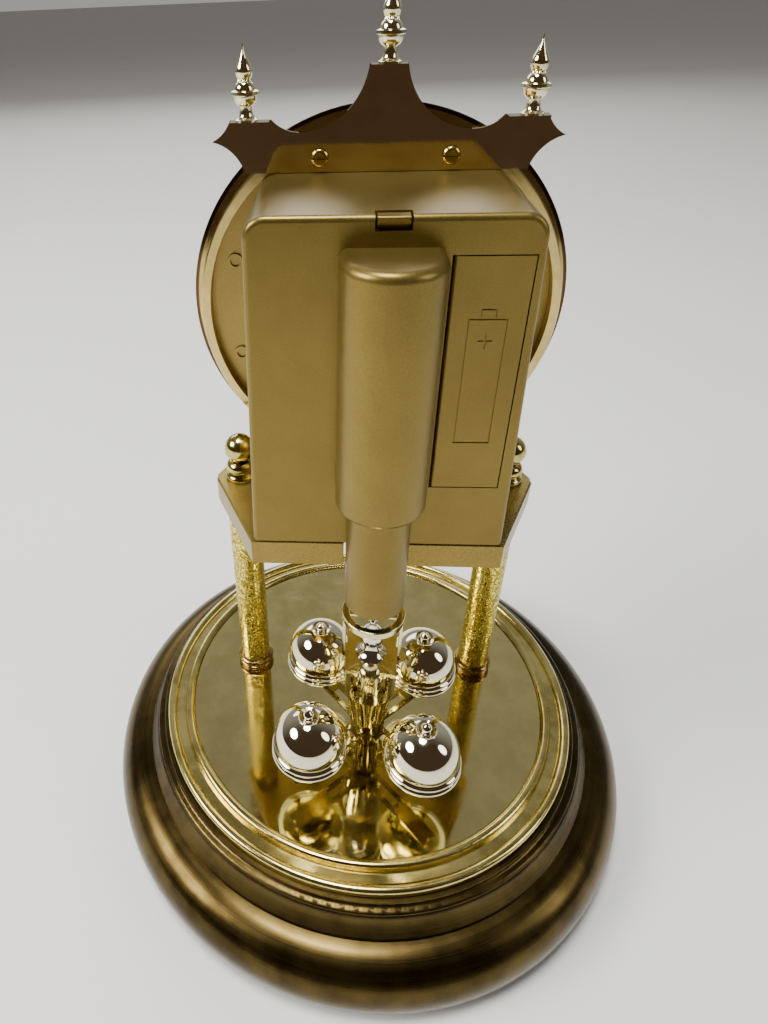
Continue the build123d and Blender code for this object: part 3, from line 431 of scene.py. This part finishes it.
def spun(bm, centre, profile, steps, ribs, depth):
    """Turn a closed (radius, height) outline in mm about a vertical axis, with ribs round it."""
    profile = [(radius * MM, height * MM) for radius, height in profile]
    rows = []
    for i in range(steps):
        angle = 2 * pi * i / steps
        swell = depth * (0.5 + 0.5 * cos(angle * ribs))
        row = []
        for radius, height in profile:
            x = centre[0] + (radius + swell) * cos(angle)
            y = centre[1] + (radius + swell) * sin(angle)
            row.append(bm.verts.new((x, y, centre[2] + height)))
        rows.append(row)
    for i in range(steps):
        here = rows[i]
        there = rows[(i + 1) % steps]
        for j in range(len(profile)):
            k = (j + 1) % len(profile)
            bm.faces.new((here[j], there[j], there[k], here[k]))


FINIAL_R = 3.5      # widest radius of a finial, mm


def finial_beads(bm):
    """A fine beaded ring round the neck of each finial, under its onion."""
    low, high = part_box("finials")
    middle = (low.y + high.y) / 2
    crown_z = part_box("pediment_plate")[1].z
    reach = high.x - FINIAL_R * MM
    outline = [(1.05, 8.35), (1.5, 8.45), (1.62, 8.75), (1.5, 9.05), (1.05, 9.1)]
    for x, z in ((-reach, low.z), (0.0, crown_z), (reach, low.z)):
        spun(bm, (x, middle, z), outline, 96, 16, 0.12 * MM)


mesh_piece("finial_beads", "finial_brass", "frame", finial_beads)


BALL_REACH = 17.0 * 2 ** 0.5 * MM      # from the pendulum's axis to a ball's
HANG = radians(-4.8)                   # the pendulum at rest, turned about its axis


def ball_places():
    """The four places of the pendulum's balls."""
    angles = [HANG + pi / 4 + i * pi / 2 for i in range(4)]
    return [(BALL_REACH * cos(angle), AXIS_Y + BALL_REACH * sin(angle)) for angle in angles]


def ball_collars(bm):
    """A ribbed collar on each pin, between the arm and its ball."""
    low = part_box("pendulum_arms")[0].z
    outline = [(1.9, 2.9), (2.6, 2.9), (2.6, 5.4), (1.9, 5.4)]
    for x, y in ball_places():
        spun(bm, (x, y, low), outline, 72, 18, 0.3 * MM)


mesh_piece("ball_collars", "rim_gold", "pendulum", ball_collars)


def on_dial(radius, hours):
    """A point on the dial, clockwise from twelve."""
    angle = hours / 12 * 2 * pi
    return Vector((radius * sin(angle), 0.0, DIAL_Z + radius * cos(angle)))


CHAPTER_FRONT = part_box("chapter_ring")[0].y
MARK_OUTER = 44.2 * MM
NUMERAL_REACH = 36.2 * MM
NUMERAL_SIZE = 9.0 * MM
PAINT_PROUD = 0.03 * MM


def minute_marks(bm):
    """Sixty painted bars, longer and wider at each hour."""
    for minute in range(60):
        long_mark = minute % 5 == 0
        inner = (41.6 if long_mark else 42.6) * MM
        outer = MARK_OUTER
        half = (0.45 if long_mark else 0.18) * MM
        turn = Matrix.Rotation(minute / 60 * 2 * pi, 4, "Y")
        corners = []
        for depth in (0.03 * MM, -0.06 * MM):
            for x, z in ((-half, inner), (half, inner), (half, outer), (-half, outer)):
                point = turn @ Vector((x, 0.0, z))
                corners.append(bm.verts.new((point.x, CHAPTER_FRONT + depth, DIAL_Z + point.z)))
        front, back = corners[4:], corners[:4]
        bm.faces.new(front)
        bm.faces.new(back[::-1])
        for i in range(4):
            j = (i + 1) % 4
            bm.faces.new((back[i], back[j], front[j], front[i]))


mesh_piece("minute_marks", "numeral_black", "frame", minute_marks)

for hour in range(1, 13):
    words = bpy.data.curves.new(f"numeral_{hour}", "FONT")
    words.body = str(hour)
    words.size = NUMERAL_SIZE
    words.align_x = "CENTER"
    words.align_y = "CENTER"
    words.extrude = 0.05 * MM
    words.bevel_depth = 0.02 * MM
    numeral = bpy.data.objects.new(f"numeral_{hour}", words)
    bpy.context.scene.collection.objects.link(numeral)
    spot = on_dial(NUMERAL_REACH, hour)
    numeral.location = (spot.x, CHAPTER_FRONT - PAINT_PROUD, spot.z)
    numeral.rotation_euler = (pi / 2, 0.0, 0.0)
    words.materials.append(LOOKS["numeral_black"].material)
    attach(numeral, "frame")


# ---------------------------------------------------------------- floor, light and camera

FLOOR_REACH = 14.0      # radius of the floor disc
FLOOR_BACK = 0.9        # how far it goes behind the clock
SKY_FRONT = (0.36, 0.355, 0.34, 1.0)
SKY_BACK = (0.060, 0.040, 0.027, 1.0)
EYE = (0.01169, 0.16499, 0.24735)
EYE_RIGHT = (-0.99734, -0.06580, -0.03143)
EYE_BACK = (-0.07202, 0.82173, 0.56531)
AIM = (0.0, 0.0, 0.12)


def floor():
    shade = Shade("floor_pale", roughness=0.6)
    slow = shade.noise(3.0, 3.0)
    shade.colour(shade.mix(slow, (0.80, 0.80, 0.765), (0.85, 0.85, 0.815)))
    bpy.ops.mesh.primitive_circle_add(vertices=96, radius=FLOOR_REACH, fill_type="NGON",
                                      location=(0.0, FLOOR_BACK - FLOOR_REACH, 0.0))
    disc = bpy.context.object
    disc.name = "floor"
    disc.data.materials.append(shade.material)


def lamp(name, place, size, power, tint=(1.0, 1.0, 1.0)):
    """A soft lamp turned towards the clock."""
    data = bpy.data.lights.new(name, "AREA")
    data.shape = "ELLIPSE"
    data.size, data.size_y = size
    data.energy = power
    data.color = tint
    light = bpy.data.objects.new(name, data)
    bpy.context.scene.collection.objects.link(light)
    light.location = place
    away = Vector(place) - Vector(AIM)
    light.rotation_euler = away.to_track_quat("Z", "Y").to_euler()


def sky():
    """A plain grey studio, lighter before the dial than behind the movement."""
    world = bpy.data.worlds.new("studio")
    world.use_nodes = True
    tree = world.node_tree
    place = tree.nodes.new("ShaderNodeTexCoord")
    parts = tree.nodes.new("ShaderNodeSeparateXYZ")
    ramp = tree.nodes.new("ShaderNodeMapRange")
    tree.links.new(place.outputs["Generated"], parts.inputs[0])
    tree.links.new(parts.outputs["Y"], ramp.inputs["Value"])
    ramp.interpolation_type = "SMOOTHSTEP"
    ramp.inputs["From Min"].default_value = -0.9
    ramp.inputs["From Max"].default_value = 0.3
    tint = tree.nodes.new("ShaderNodeMix")
    tint.data_type = "RGBA"
    tint.inputs[MIX_FIRST].default_value = SKY_FRONT
    tint.inputs[MIX_SECOND].default_value = SKY_BACK
    tree.links.new(ramp.outputs["Result"], tint.inputs[MIX_FACTOR])
    tree.links.new(tint.outputs[MIX_RESULT], tree.nodes["Background"].inputs["Color"])
    tree.nodes["Background"].inputs["Strength"].default_value = 1.0
    bpy.context.scene.world = world


def camera():
    """The view from behind and a little above."""
    data = bpy.data.cameras.new("camera")
    data.lens = 24.16
    data.sensor_width = 36.0
    data.shift_x = 0.0969
    data.shift_y = -0.0490
    data.clip_start = 0.01
    eye = bpy.data.objects.new("camera", data)
    bpy.context.scene.collection.objects.link(eye)
    right = Vector(EYE_RIGHT)
    back = Vector(EYE_BACK)
    up = back.cross(right)
    turn = Matrix((right, up, back)).transposed().to_4x4()
    eye.matrix_world = Matrix.Translation(EYE) @ turn
    bpy.context.scene.camera = eye


floor()
sky()
lamp("key", (1.15, 0.35, 1.0), (0.8, 0.6), 26.0, (1.0, 0.98, 0.94))
lamp("fill", (-1.3, 0.4, 0.9), (0.5, 0.9), 5.0)
lamp("front", (0.3, -1.7, 1.0), (2.4, 0.7), 14.0)
lamp("top", (0.15, 0.1, 1.4), (0.45, 0.45), 19.0)
camera()
